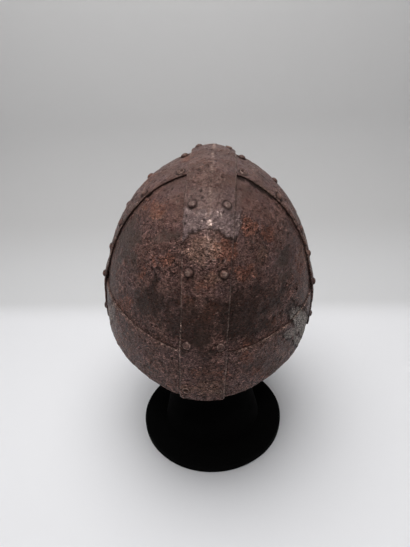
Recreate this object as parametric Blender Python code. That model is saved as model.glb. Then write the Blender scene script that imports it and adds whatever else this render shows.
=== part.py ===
"""Banded iron helmet sitting tipped forward on a plain round display stand.

Four curved plates are held by a brow band, two lateral half bands and one medial
band with a low keel, which lies over all the others. Domed rivets run in pairs
along the bands. Units are metres, +Z is up and the photographed end faces -Y.
The origin is the centre of the stand's underside.
"""

from math import cos, pi, radians, sin

import bmesh
import bpy
import numpy as np
from mathutils import Euler, Vector

# The shell is the outer surface of the four plates, measured at the rim plane
SHELL_HALF_WIDTH = 0.1002
SHELL_HALF_LENGTH = 0.1155
SHELL_HEIGHT = 0.1585
# Powers and roundings of its two profiles, and how far the oval narrows at its ends
WIDTH_POWER = 2.38
WIDTH_ROUNDING = 0.52
LENGTH_POWER = 1.62
LENGTH_ROUNDING = 0.33
END_TAPER = 0.20

# Sheet metal
PLATE_THICKNESS = 0.0016
BAND_THICKNESS = 0.0015
LAYER_GAP = 0.0004
BROW_BAND_HEIGHT = 0.0460
MEDIAL_RIM_WIDTH = 0.0350
MEDIAL_CROWN_WIDTH = 0.0372
LATERAL_BAND_WIDTH = 0.0460
# How far behind the crown each lateral band's middle line lies, at -X and at +X
LEFT_BAND_SHIFT = 0.0006
RIGHT_BAND_SHIFT = 0.0026
KEEL_HEIGHT = 0.0012
KEEL_FADE = 0.0900
LIFT_CLEARANCE = 0.0015
LIFT_RAMP = 0.0180
LATERAL_END_TUCK = 0.0100
PLATE_MARGIN = 0.0060
PLATE_FOOT_GAP = 0.0100
PLATE_CORNER_CUT = 0.0080

# Rivets, and their rows as shares of the way from the rim to the crown
RIVET_HEAD_RADIUS = 0.0036
RIVET_HEAD_HEIGHT = 0.0025
RIVET_SHANK_RADIUS = 0.0019
RIVET_HOLE_CLEARANCE = 0.0003
RIVET_SEAT_GAP = 0.0002
RIVET_END_PROUD = 0.0003
RIVET_INSET = 0.0054
RIVET_HOLE_REACH = 0.0120
FOOT_RIVET_HEIGHT = 0.0105
MEDIAL_NEAR_ROWS = (0.247, 0.508, 0.735)
MEDIAL_FAR_ROWS = (0.260, 0.560, 0.863)
LATERAL_ROWS = (0.245, 0.400, 0.530, 0.705, 0.880)

# Where the helmet sits on the stand
RIM_CENTRE = Vector((-0.0009, 0.0123, 0.1440))
HELMET_TIP = radians(8.6)
HELMET_LEAN = radians(3.8)

# Display stand
BASE_RADIUS = 0.0790
BASE_THICKNESS = 0.0100
BASE_EDGE_ROUND = 0.0030
STAND_SEAM = 0.0003
COLUMN_FOOT_RADIUS = 0.0535
COLUMN_WAIST_RADIUS = 0.0430
COLUMN_TOP_RADIUS = 0.0480
PAD_BOTTOM_DEPTH = 0.0600
PAD_RADIUS = 0.0660
PAD_CLEARANCE = 0.0006
PAD_EDGE_POWER = 40.0

# Probes of the curved shell: the turn from a point to its neighbours for its normal,
# and the way to them on a band
NORMAL_TURN = radians(0.115)
BAND_PROBE = 0.0010

# Facets
AROUND_BROW = 56
BROW_ROWS = 2
BAND_COLUMNS = 4
MEDIAL_SEGMENTS = 40
LATERAL_SEGMENTS = 18
PLATE_ROWS = 9
PLATE_COLUMNS = 9
RIVET_SIDES = 8
HOLE_SIDES = 8
STAND_SIDES = 40
PAD_SIDES = 40
PAD_RINGS = 8

IRON_BROWN = (0.115, 0.080, 0.066, 1.0)
IRON_DARK = (0.085, 0.066, 0.060, 1.0)
RIVET_BROWN = (0.130, 0.098, 0.082, 1.0)
VELVET_BLACK = (0.004, 0.004, 0.005, 1.0)


def clear_scene():
    for old in list(bpy.data.objects):
        bpy.data.objects.remove(old, do_unlink=True)


def material(name, colour, roughness, metallic):
    made = bpy.data.materials.new(name)
    made.use_nodes = True
    shader = made.node_tree.nodes["Principled BSDF"]
    shader.inputs["Base Color"].default_value = colour
    shader.inputs["Roughness"].default_value = roughness
    shader.inputs["Metallic"].default_value = metallic
    made.diffuse_color = colour
    return made


def profile(height, power, rounding):
    """Share of the rim's half size that is left at a height, from 1 at the rim to 0 at the crown."""
    share = np.clip(height / SHELL_HEIGHT, 0.0, 1.0)
    return np.clip(1.0 - share**power, 0.0, 1.0) ** rounding


def half_width(height):
    return SHELL_HALF_WIDTH * profile(height, WIDTH_POWER, WIDTH_ROUNDING)


def half_length(height):
    return SHELL_HALF_LENGTH * profile(height, LENGTH_POWER, LENGTH_ROUNDING)


def oval_x(height, y):
    """Half width of the oval section at a height, where it crosses y; below 0 past its ends."""
    along = np.abs(y) / np.maximum(half_length(height), 1e-9)
    inside = np.clip(1.0 - along**2, 0.0, 1.0)
    width = half_width(height) * np.sqrt(inside) * (1.0 - END_TAPER * along**2)
    return np.where(along < 1.0, width, -1.0)


def cast(origins, directions, halvings=42):
    """Where rays that start inside the shell meet it."""
    near = np.zeros(len(origins))
    far = np.full(len(origins), SHELL_HEIGHT + 2 * SHELL_HALF_LENGTH)
    for _ in range(halvings):
        middle = (near + far) / 2
        points = origins + directions * middle[:, None]
        inside = np.abs(points[:, 0]) < oval_x(points[:, 2], points[:, 1])
        inside &= points[:, 2] < SHELL_HEIGHT
        near = np.where(inside, middle, near)
        far = np.where(inside, far, middle)
    return origins + directions * near[:, None]


def unit(vectors):
    return vectors / np.linalg.norm(vectors, axis=1, keepdims=True)


def normals(points):
    """Outward normals of the shell at points on it."""
    out = unit(points)
    side = np.cross(out, np.where(np.abs(out[:, :1]) < 0.7, [[1.0, 0, 0]], [[0, 1.0, 0]]))
    side = unit(side)
    other = np.cross(out, side)
    centre = np.zeros_like(points)
    across = cast(centre, unit(out + side * NORMAL_TURN)) - cast(centre, unit(out - side * NORMAL_TURN))
    along = cast(centre, unit(out + other * NORMAL_TURN)) - cast(centre, unit(out - other * NORMAL_TURN))
    found = unit(np.cross(across, along))
    return found * np.sign((found * out).sum(1))[:, None]


def raised(points, distance):
    """Points of the shell moved outwards by a distance, one for all or one for each."""
    return points + normals(points) * np.broadcast_to(distance, len(points))[:, None]


def ease(share):
    share = np.clip(share, 0.0, 1.0)
    return share * share * (3.0 - 2.0 * share)


def over_brow(height):
    """1 where a band lies over the brow band, easing to 0 above its upper edge."""
    return ease((BROW_BAND_HEIGHT + LIFT_CLEARANCE + LIFT_RAMP - height) / LIFT_RAMP)


def over_laterals(points):
    """1 where the medial band lies over the ends of the lateral bands at the crown."""
    half = LATERAL_BAND_WIDTH / 2
    before = min(LEFT_BAND_SHIFT, RIGHT_BAND_SHIFT) - half - points[:, 1]
    behind = points[:, 1] - max(LEFT_BAND_SHIFT, RIGHT_BAND_SHIFT) - half
    outside = np.maximum(before, behind)
    at_crown = points[:, 2] > SHELL_HEIGHT / 2
    return ease((LIFT_CLEARANCE + LIFT_RAMP - outside) / LIFT_RAMP) * at_crown


def arc_angles(long_way):
    """Angles about the rim's centre, evenly spaced along the shell's middle line, and its length.

    The line runs over the crown from -Y to +Y, or from +X to -X where long_way is false.
    """
    angles = np.linspace(pi, 0.0, 721) if long_way else np.linspace(0.0, pi, 721)
    level, up = np.cos(angles), np.sin(angles)
    zero = np.zeros_like(level)
    rays = np.stack([zero, level, up] if long_way else [level, zero, up], 1)
    line = cast(np.zeros_like(rays), rays)
    steps = np.linalg.norm(np.diff(line, axis=0), axis=1)
    length = np.concatenate([[0.0], np.cumsum(steps)])
    return angles, length


MEDIAL_ANGLES, MEDIAL_LENGTHS = arc_angles(True)
LATERAL_ANGLES, LATERAL_LENGTHS = arc_angles(False)
MEDIAL_HALF = MEDIAL_LENGTHS[-1] / 2
LATERAL_HALF = LATERAL_LENGTHS[-1] / 2
PLATE_BOTTOM = FOOT_RIVET_HEIGHT + PLATE_FOOT_GAP


def medial_line(across, distance):
    """Shell points at x = across, at a distance along the medial line from the near rim."""
    angle = np.interp(distance, MEDIAL_LENGTHS, MEDIAL_ANGLES)
    zero = np.zeros_like(angle)
    return cast(np.stack([across, zero, zero], 1), np.stack([zero, np.cos(angle), np.sin(angle)], 1))


def lateral_line(across, distance):
    """Shell points at y = across, at a distance along the lateral line from the +X rim."""
    angle = np.interp(distance, LATERAL_LENGTHS, LATERAL_ANGLES)
    zero = np.zeros_like(angle)
    return cast(np.stack([zero, across, zero], 1), np.stack([np.cos(angle), zero, np.sin(angle)], 1))


def medial_half(distance):
    """Half the medial band's width, which grows from the rims to the crown."""
    from_rim = 1.0 - np.abs(distance / MEDIAL_HALF - 1.0)
    return (MEDIAL_RIM_WIDTH + (MEDIAL_CROWN_WIDTH - MEDIAL_RIM_WIDTH) * from_rim) / 2


def band_shift(side):
    """How far towards +Y a lateral band's middle line lies. side is 1 at +X and -1 at -X."""
    return RIGHT_BAND_SHIFT if side > 0 else LEFT_BAND_SHIFT


def medial_surface(across, distance, outer):
    """The medial band's inner or outer surface, with its lifts and its keel, which fades to the rims."""
    points = medial_line(across, distance)
    lift = np.maximum(over_brow(points[:, 2]), over_laterals(points))
    fade = ease(points[:, 2] / KEEL_FADE)
    keel = KEEL_HEIGHT * fade * (1.0 - np.abs(across) / medial_half(distance))
    height = LAYER_GAP + lift * (BAND_THICKNESS + LAYER_GAP) + keel
    return raised(points, height + (BAND_THICKNESS if outer else 0.0))


def lateral_surface(across, distance, outer):
    """A lateral band's inner or outer surface, lifted over the brow band at its foot."""
    points = lateral_line(across, distance)
    height = LAYER_GAP + over_brow(points[:, 2]) * (BAND_THICKNESS + LAYER_GAP)
    return raised(points, height + (BAND_THICKNESS if outer else 0.0))


def sheet(name, rows, finish, thickness, parent, ring=False):
    """A sheet metal piece: a grid of points made thick along its normals.

    A positive thickness grows outwards from the grid and a negative one inwards.
    """
    form = bmesh.new()
    grid = [[form.verts.new(point) for point in row] for row in rows]
    for low, high in zip(grid, grid[1:]):
        count = len(low)
        for i in range(count if ring else count - 1):
            j = (i + 1) % count
            form.faces.new((low[i], low[j], high[j], high[i]))
    form.normal_update()
    middle = form.faces[:][len(form.faces) // 2]
    if middle.normal.dot(middle.calc_center_median()) < 0:
        bmesh.ops.reverse_faces(form, faces=form.faces[:])
    piece = finished(name, form, finish, parent)
    solid = piece.modifiers.new("thickness", "SOLIDIFY")
    solid.thickness = abs(thickness)
    solid.offset = 1.0 if thickness > 0 else -1.0
    return piece


def finished(name, form, finish, parent=None):
    """An object from a bmesh, shaded smooth with its hard edges kept."""
    mesh = bpy.data.meshes.new(name)
    form.to_mesh(mesh)
    form.free()
    mesh.materials.append(finish)
    mesh.shade_smooth()
    mesh.set_sharp_from_angle(angle=radians(35))
    piece = bpy.data.objects.new(name, mesh)
    bpy.context.collection.objects.link(piece)
    piece.parent = parent
    return piece


def turned(name, outline, sides, finish, parent=None):
    """A solid of revolution about Z from (radius, height) pairs that start and end on the axis."""
    form = bmesh.new()
    points = [form.verts.new((radius, 0.0, height)) for radius, height in outline]
    edges = [form.edges.new(pair) for pair in zip(points, points[1:])]
    bmesh.ops.spin(
        form, geom=points + edges, cent=(0, 0, 0), axis=(0, 0, 1), angle=2 * pi, steps=sides, use_merge=True
    )
    bmesh.ops.remove_doubles(form, verts=form.verts[:], dist=1e-6)
    bmesh.ops.recalc_face_normals(form, faces=form.faces[:])
    return finished(name, form, finish, parent)


def brow_band(finish, parent):
    """The ring round the rim, over the feet of the plates."""
    angles = np.linspace(0.0, 2 * pi, AROUND_BROW, endpoint=False)
    rows = []
    for height in np.linspace(0.0, BROW_BAND_HEIGHT, BROW_ROWS + 1):
        rows.append(raised(oval_ring(height, angles), LAYER_GAP))
    return sheet("brow_band", rows, finish, BAND_THICKNESS, parent, ring=True)


def oval_ring(height, angles):
    """Points of the shell's oval section at a height."""
    level = np.full_like(angles, height)
    x = half_width(level) * np.cos(angles) * (1.0 - END_TAPER * np.sin(angles) ** 2)
    y = half_length(level) * np.sin(angles)
    return np.stack([x, y, level], 1)


def medial_band(finish, parent):
    """The keeled band from the near rim over the crown to the far rim."""
    shares = np.linspace(-1.0, 1.0, BAND_COLUMNS + 1)
    rows = []
    for distance in np.linspace(0.0, MEDIAL_LENGTHS[-1], MEDIAL_SEGMENTS + 1):
        across = shares * medial_half(distance)
        rows.append(medial_surface(across, np.full_like(across, distance), outer=False))
    return sheet("medial_band", rows, finish, BAND_THICKNESS, parent)


def lateral_end():
    """Distance along the lateral line at which a lateral band ends, tucked under the medial band."""
    stop = MEDIAL_CROWN_WIDTH / 2 - LATERAL_END_TUCK
    return LATERAL_HALF - stop


def lateral_band(name, side, finish, parent):
    """One half band, from the rim up to its end under the medial band. side is 1 at +X and -1 at -X."""
    half = LATERAL_BAND_WIDTH / 2
    across = np.linspace(-half, half, BAND_COLUMNS + 1) + band_shift(side)
    rows = []
    for distance in np.linspace(0.0, lateral_end(), LATERAL_SEGMENTS + 1):
        row = lateral_surface(across, np.full_like(across, distance), outer=False)
        rows.append(row * [side, 1, 1])
    return sheet(name, rows, finish, BAND_THICKNESS, parent)


def solve(test, low, high, halvings=40):
    """The value between low and high at which test turns from true to false."""
    for _ in range(halvings):
        middle = (low + high) / 2
        low, high = (middle, high) if test(middle) else (low, middle)
    return low


def plate_edges(side, end):
    """How near a plate comes to the medial plane and to the lateral plane, under the bands."""
    medial_edge = MEDIAL_RIM_WIDTH / 2 - RIVET_INSET - PLATE_MARGIN
    lateral_edge = LATERAL_BAND_WIDTH / 2 - RIVET_INSET - PLATE_MARGIN
    return medial_edge, lateral_edge + end * band_shift(side)


def plate(name, side, end, finish, parent):
    """One of the four plates. side is 1 at +X and -1 at -X, end is -1 at the near end and 1 at the far."""
    medial_edge, lateral_edge = plate_edges(side, end)
    corner = medial_edge + PLATE_CORNER_CUT
    top = solve(lambda z: oval_x(z, lateral_edge) > corner, PLATE_BOTTOM, SHELL_HEIGHT)
    rows = []
    for turn in np.linspace(0.0, pi / 2, PLATE_ROWS + 1):
        height = PLATE_BOTTOM + (top - PLATE_BOTTOM) * sin(turn)
        last_y = solve(lambda y: oval_x(height, y) > medial_edge, 0.0, SHELL_HALF_LENGTH)
        first, last = np.arcsin(np.array([lateral_edge, last_y]) / half_length(height))
        angles = np.linspace(first, last, PLATE_COLUMNS + 1)
        rows.append(oval_ring(height, angles) * [side, end, 1])
    return sheet(name, rows, finish, -PLATE_THICKNESS, parent)


def surface_frame(surface, across, distance):
    """A point of a band's outer surface, and its outward direction there."""
    shifts = np.array([[0, 0], [1, 0], [-1, 0], [0, 1], [0, -1]]) * BAND_PROBE
    points = surface(across + shifts[:, 0], distance + shifts[:, 1], outer=True)
    point, right, left, on, back = (Vector(p) for p in points)
    out = (right - left).cross(on - back).normalized()
    if out.dot(point) < 0:
        out.negate()
    return point, out


def rivet_places():
    """Name, point on the band's outer surface and outward direction of every rivet."""
    places = []
    reach = MEDIAL_RIM_WIDTH / 2 - RIVET_INSET
    for end, shares in (("near", MEDIAL_NEAR_ROWS), ("far", MEDIAL_FAR_ROWS)):
        rows = [FOOT_RIVET_HEIGHT] + [MEDIAL_HALF * share for share in shares]
        for number, row in enumerate(rows, 1):
            distance = row if end == "near" else MEDIAL_LENGTHS[-1] - row
            for side, across in (("left", -reach), ("right", reach)):
                point, out = surface_frame(medial_surface, across, distance)
                places.append((f"rivet_medial_{end}_{number}_{side}", point, out))
    reach = LATERAL_BAND_WIDTH / 2 - RIVET_INSET
    rows = [FOOT_RIVET_HEIGHT] + [LATERAL_HALF * share for share in LATERAL_ROWS]
    for number, row in enumerate(rows, 1):
        for end, across in (("near", -reach), ("far", reach)):
            for side, sign in (("left", -1), ("right", 1)):
                point, out = surface_frame(lateral_surface, across + band_shift(sign), row)
                flip = Vector((sign, 1, 1))
                places.append((f"rivet_lateral_{side}_{number}_{end}", point * flip, out * flip))
    return places


def stack_depth(point, out):
    """How far it is from a band's outer surface at a rivet to the inner face of what it holds."""
    spot = np.array([point])
    shell = cast(spot / 2, unit(spot))
    outside = (point - Vector(shell[0])).dot(out)
    below_plates = point.z < PLATE_BOTTOM
    return outside - LAYER_GAP if below_plates else outside + PLATE_THICKNESS


def rivet(name, point, out, finish, parent):
    """A rivet with a domed head outside, whose shank ends just proud of the inner face."""
    head, height = RIVET_HEAD_RADIUS, RIVET_HEAD_HEIGHT
    seat = RIVET_SEAT_GAP
    end = -stack_depth(point, out) - RIVET_END_PROUD
    outline = [
        (0.0, end),
        (RIVET_SHANK_RADIUS, end),
        (RIVET_SHANK_RADIUS, seat),
        (head, seat),
        (head * 0.80, seat + height * 0.62),
        (head * 0.36, seat + height),
        (0.0, seat + height),
    ]
    piece = turned(name, outline, RIVET_SIDES, finish, parent)
    piece.location = point
    piece.rotation_euler = out.to_track_quat("Z", "Y").to_euler()
    return piece


def rivet_holes(places, parent):
    """Cutters for the rivets' holes, gathered in one collection."""
    radius = RIVET_SHANK_RADIUS + RIVET_HOLE_CLEARANCE
    depth = 2 * RIVET_HOLE_REACH
    form = bmesh.new()
    bmesh.ops.create_cone(
        form, cap_ends=True, segments=HOLE_SIDES, radius1=radius, radius2=radius, depth=depth
    )
    mesh = bpy.data.meshes.new("rivet_hole")
    form.to_mesh(mesh)
    form.free()
    cutters = bpy.data.collections.new("rivet_holes")
    bpy.context.scene.collection.children.link(cutters)
    for name, point, out in places:
        cutter = bpy.data.objects.new("hole_for_" + name, mesh)
        cutters.objects.link(cutter)
        cutter.parent = parent
        cutter.location = point
        cutter.rotation_euler = out.to_track_quat("Z", "Y").to_euler()
        cutter.hide_render = True
        cutter.display_type = "WIRE"
    return cutters


def pierce(piece, cutters):
    cut = piece.modifiers.new("rivet_holes", "BOOLEAN")
    cut.operation = "DIFFERENCE"
    cut.operand_type = "COLLECTION"
    cut.collection = cutters
    cut.solver = "EXACT"


def stand_base(finish):
    """The round foot of the stand, with rounded edges."""
    radius, top, edge = BASE_RADIUS, BASE_THICKNESS, BASE_EDGE_ROUND
    outline = [
        (0.0, 0.0),
        (radius - edge * 0.5, 0.0),
        (radius, edge * 0.5),
        (radius, top - edge),
        (radius - edge * 0.3, top - edge * 0.3),
        (radius - edge, top),
        (0.0, top),
    ]
    return turned("stand_base", outline, STAND_SIDES, finish)


def stand_column(finish, top):
    """The waisted column between the foot and the pad."""
    bottom = BASE_THICKNESS + STAND_SEAM
    rise = top - bottom
    foot, waist, head = COLUMN_FOOT_RADIUS, COLUMN_WAIST_RADIUS, COLUMN_TOP_RADIUS
    table = (
        # share of the rise, share of the way from the waist to the end's radius
        (0.00, 1.00),
        (0.05, 0.72),
        (0.12, 0.40),
        (0.24, 0.12),
        (0.42, 0.00),
    )
    lower = [(waist + (foot - waist) * out, bottom + rise * share) for share, out in table]
    upper = [
        (waist + (head - waist) * out, top - rise * share) for share, out in reversed(table[:3])
    ]
    outline = [(0.0, bottom)] + lower + upper + [(0.0, top)]
    return turned("stand_column", outline, STAND_SIDES, finish)


def stand_pad(finish, helmet, centre):
    """The domed pad inside the crown, which follows the inner face of the plates from below."""
    inward = -(PLATE_THICKNESS + PAD_CLEARANCE)
    to_helmet = np.array(helmet.matrix_world.inverted())
    turn = to_helmet[:3, :3]
    start = (to_helmet @ np.array([*centre, 1.0]))[:3]
    azimuths = np.linspace(0.0, 2 * pi, PAD_SIDES, endpoint=False)
    form = bmesh.new()
    rings = []
    for rise in np.linspace(0.0, pi / 2, PAD_RINGS + 1)[:-1]:
        level = np.cos(rise)
        up = np.full_like(azimuths, sin(rise))
        ways = np.stack([level * np.cos(azimuths), level * np.sin(azimuths), up], 1)
        rings.append([form.verts.new(point) for point in pad_points(start, turn, ways, centre, inward)])
    crown = form.verts.new(pad_points(start, turn, np.array([[0.0, 0.0, 1.0]]), centre, inward)[0])
    for low, high in zip(rings, rings[1:]):
        for i in range(PAD_SIDES):
            j = (i + 1) % PAD_SIDES
            form.faces.new((low[i], low[j], high[j], high[i]))
    for i in range(PAD_SIDES):
        form.faces.new((rings[-1][i], rings[-1][(i + 1) % PAD_SIDES], crown))
    form.faces.new(list(reversed(rings[0])))
    bmesh.ops.recalc_face_normals(form, faces=form.faces[:])
    return finished("stand_pad", form, finish)


def pad_points(start, turn, ways, centre, inward):
    """Points of the pad's skin in world directions from its centre."""
    origins = np.tile(start, (len(ways), 1))
    hits = cast(origins, ways @ turn.T)
    inner = raised(hits, inward)
    reach = np.linalg.norm(inner - origins, axis=1)
    # The smaller of the helmet's reach and the pad's radius, with a rounded edge between them
    ratio = reach / PAD_RADIUS
    soft = reach * (1.0 + ratio**PAD_EDGE_POWER) ** (-1.0 / PAD_EDGE_POWER)
    return np.array(centre) + ways * soft[:, None]


def helmet_frame():
    """The empty that carries the helmet, tipped forward and leaning a little to +X."""
    frame = bpy.data.objects.new("helmet_frame", None)
    bpy.context.collection.objects.link(frame)
    frame.location = RIM_CENTRE
    frame.rotation_euler = Euler((HELMET_TIP, HELMET_LEAN, 0.0), "XYZ")
    bpy.context.view_layer.update()
    return frame


def main():
    clear_scene()
    plate_iron = material("plate_iron", IRON_DARK, 0.75, 0.35)
    band_iron = material("band_iron", IRON_BROWN, 0.70, 0.35)
    rivet_iron = material("rivet_iron", RIVET_BROWN, 0.55, 0.50)
    velvet = material("black_velvet", VELVET_BLACK, 1.00, 0.00)

    helmet = helmet_frame()
    places = rivet_places()
    cutters = rivet_holes(places, helmet)
    shells = [
        plate("plate_near_left", -1, -1, plate_iron, helmet),
        plate("plate_near_right", 1, -1, plate_iron, helmet),
        plate("plate_far_left", -1, 1, plate_iron, helmet),
        plate("plate_far_right", 1, 1, plate_iron, helmet),
        brow_band(band_iron, helmet),
        lateral_band("lateral_band_left", -1, band_iron, helmet),
        lateral_band("lateral_band_right", 1, band_iron, helmet),
        medial_band(band_iron, helmet),
    ]
    for shell in shells:
        pierce(shell, cutters)
    for name, point, out in places:
        rivet(name, point, out, rivet_iron, helmet)

    crown = helmet.matrix_world @ Vector((0.0, 0.0, SHELL_HEIGHT))
    pad_centre = Vector((0.0, 0.0, crown.z - PAD_BOTTOM_DEPTH))
    stand_base(velvet)
    stand_column(velvet, pad_centre.z - STAND_SEAM)
    stand_pad(velvet, helmet, pad_centre)


main()
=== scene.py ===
"""The looks of the banded iron helmet on its black velvet stand.

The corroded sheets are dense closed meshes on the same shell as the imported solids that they
replace. Their relief and their rust are worked out in code and kept as mesh attributes, which
the iron's nodes read. Units are metres, and relief is written in millimetres.
"""

from math import cos, pi, radians, sin

import bpy
import numpy as np
from mathutils import Euler, Matrix, Vector

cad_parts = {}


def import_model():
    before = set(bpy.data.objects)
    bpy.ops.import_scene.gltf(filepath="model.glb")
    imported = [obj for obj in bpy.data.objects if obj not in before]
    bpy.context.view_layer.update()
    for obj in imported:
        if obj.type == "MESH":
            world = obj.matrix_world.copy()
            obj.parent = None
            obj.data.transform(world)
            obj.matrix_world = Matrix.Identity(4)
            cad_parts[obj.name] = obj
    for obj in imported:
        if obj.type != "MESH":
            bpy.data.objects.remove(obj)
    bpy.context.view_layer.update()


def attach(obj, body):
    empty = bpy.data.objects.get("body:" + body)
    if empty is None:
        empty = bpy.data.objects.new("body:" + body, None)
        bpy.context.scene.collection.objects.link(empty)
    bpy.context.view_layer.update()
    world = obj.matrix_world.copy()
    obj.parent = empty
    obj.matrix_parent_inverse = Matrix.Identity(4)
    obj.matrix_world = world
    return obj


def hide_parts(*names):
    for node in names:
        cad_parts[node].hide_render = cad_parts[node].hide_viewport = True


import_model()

MM = 0.001

# The photograph's frame and camera
PHOTO_WIDTH = 410
PHOTO_HEIGHT = 547
FOCAL_PIXELS = 411.0
CAMERA_PLACE = Vector((0.0213, -0.3566, 0.3758))
CAMERA_HEADING = radians(3.7)
CAMERA_PITCH = radians(27.6)
CAMERA_ROLL = radians(-2.5)
SENSOR = 36.0

# The shell, the sheets, the rivets and the stand, as in the solids
SHELL_HALF_WIDTH = 0.1002
SHELL_HALF_LENGTH = 0.1155
SHELL_HEIGHT = 0.1585
WIDTH_POWER = 2.38
WIDTH_ROUNDING = 0.52
LENGTH_POWER = 1.62
LENGTH_ROUNDING = 0.33
END_TAPER = 0.20
PLATE_THICKNESS = 0.0016
BAND_THICKNESS = 0.0015
LAYER_GAP = 0.0004
BROW_BAND_HEIGHT = 0.0460
MEDIAL_RIM_WIDTH = 0.0350
MEDIAL_CROWN_WIDTH = 0.0372
LATERAL_BAND_WIDTH = 0.0460
LEFT_BAND_SHIFT = 0.0006
RIGHT_BAND_SHIFT = 0.0026
KEEL_HEIGHT = 0.0012
KEEL_FADE = 0.0900
LIFT_CLEARANCE = 0.0015
LIFT_RAMP = 0.0180
LATERAL_END_TUCK = 0.0100
PLATE_MARGIN = 0.0060
PLATE_BOTTOM = 0.0205
PLATE_CORNER_CUT = 0.0080
RIVET_INSET = 0.0054
RIVET_SHANK_RADIUS = 0.0019
RIVET_END_PROUD = 0.0003
FOOT_RIVET_HEIGHT = 0.0105
MEDIAL_NEAR_ROWS = (0.247, 0.508, 0.735)
MEDIAL_FAR_ROWS = (0.260, 0.560, 0.863)
LATERAL_ROWS = (0.245, 0.400, 0.530, 0.705, 0.880)
RIM_CENTRE = Vector((-0.0009, 0.0123, 0.1440))
HELMET_TIP = radians(8.6)
HELMET_LEAN = radians(3.8)
BASE_RADIUS = 0.0790
BASE_THICKNESS = 0.0100
BASE_EDGE_ROUND = 0.0030
STAND_SEAM = 0.0003
COLUMN_FOOT_RADIUS = 0.0535
COLUMN_WAIST_RADIUS = 0.0430
COLUMN_TOP_RADIUS = 0.0480
PAD_BOTTOM_DEPTH = 0.0600
PAD_RADIUS = 0.0660
PAD_CLEARANCE = 0.0006
PAD_SLACK = 0.0005
PAD_EDGE_POWER = 40.0
PAD_RINGS = 24
COLUMN_RINGS = 60
COLUMN_CROWDING = 1.4

# Worn rivet heads, in millimetres
HEAD_RADIUS = 3.6
HEAD_HEIGHT = 2.4
HEAD_SINK = 0.6
HEAD_WEAR = 0.10
PROUD_RIVETS = ("rivet_medial_near_3_left", "rivet_medial_near_3_right")
PROUD_SCALE = 1.60
HEAD_SIDES = 28
HEAD_RINGS = 10

# Mesh density, as millimetres between points
STEP_ALONG = 0.85
STEP_MEDIAL_ACROSS = 0.65
STEP_LATERAL_ACROSS = 0.75
STEP_BROW = 0.95
STEP_NEAR_PLATE = 0.90
STEP_FAR_PLATE = 1.15
STAND_STEPS = 96
# Lengths in metres that the numbers of points follow: the brow band's radius, and how far a plate
# runs up and across
BROW_MEAN_RADIUS = 0.108
PLATE_RUN = 0.165
PLATE_SPAN = 0.125
# Turns the run of both of the shell's axes into about their mean
TWO_AXES = 1.4

# Relief of the iron in millimetres
SHELF_RISE = 0.30
LUMP_RISE = 0.15
PEBBLE_RISE = 0.16
SKIN_RISE = 0.75
SKIN_LUMP_RISE = 0.45
CRUST_RISE = 1.10
CRUST_LUMP_RISE = 0.25
PALE_DROP = 0.40
POCK_DEPTH = 0.40
SEAT_DEPTH = 0.25
SWELL = 0.50
SPRUNG_EDGE = 0.30
TORN_EDGE = 1.50
TUCK_DEPTH = 0.25
BROW_FILL = 0.35
POCK_SPACING = 6.5
THINNEST_BAND = 0.5
# How far in from an edge a band's face falls, and by how much
MEDIAL_EDGE_FALL = (1.5, 0.75)
LATERAL_EDGE_FALL = (1.3, 0.5)
BROW_TOP_FALL = (1.6, 0.6)
BROW_RIM_FALL = (1.2, 0.5)

# Rough noises: largest feature in millimetres, octaves and seed
RAGGED_OUTLINE = (9.0, 3, 21)
TATTERED_OUTLINE = (3.2, 2, 25)
BROAD_CHANGE = (34.0, 4, 31)
FLAKES = (12.0, 4, 41)
LUMPS = (2.6, 2, 51)
SWELLING = (55.0, 2, 81)
MEDIAL_WANDER = (14.0, 3, 91)
LATERAL_WANDER = (11.0, 4, 93)
BROW_WANDER = (12.0, 4, 97)
EDGE_BITES = (6.0, 2, 96)
EDGE_WEAR = (16.0, 2, 98)
MEDIAL_EDGE_WEAR = (16.0, 2, 99)
HEAD_DENTS = (2.2, 2, 131)

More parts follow.
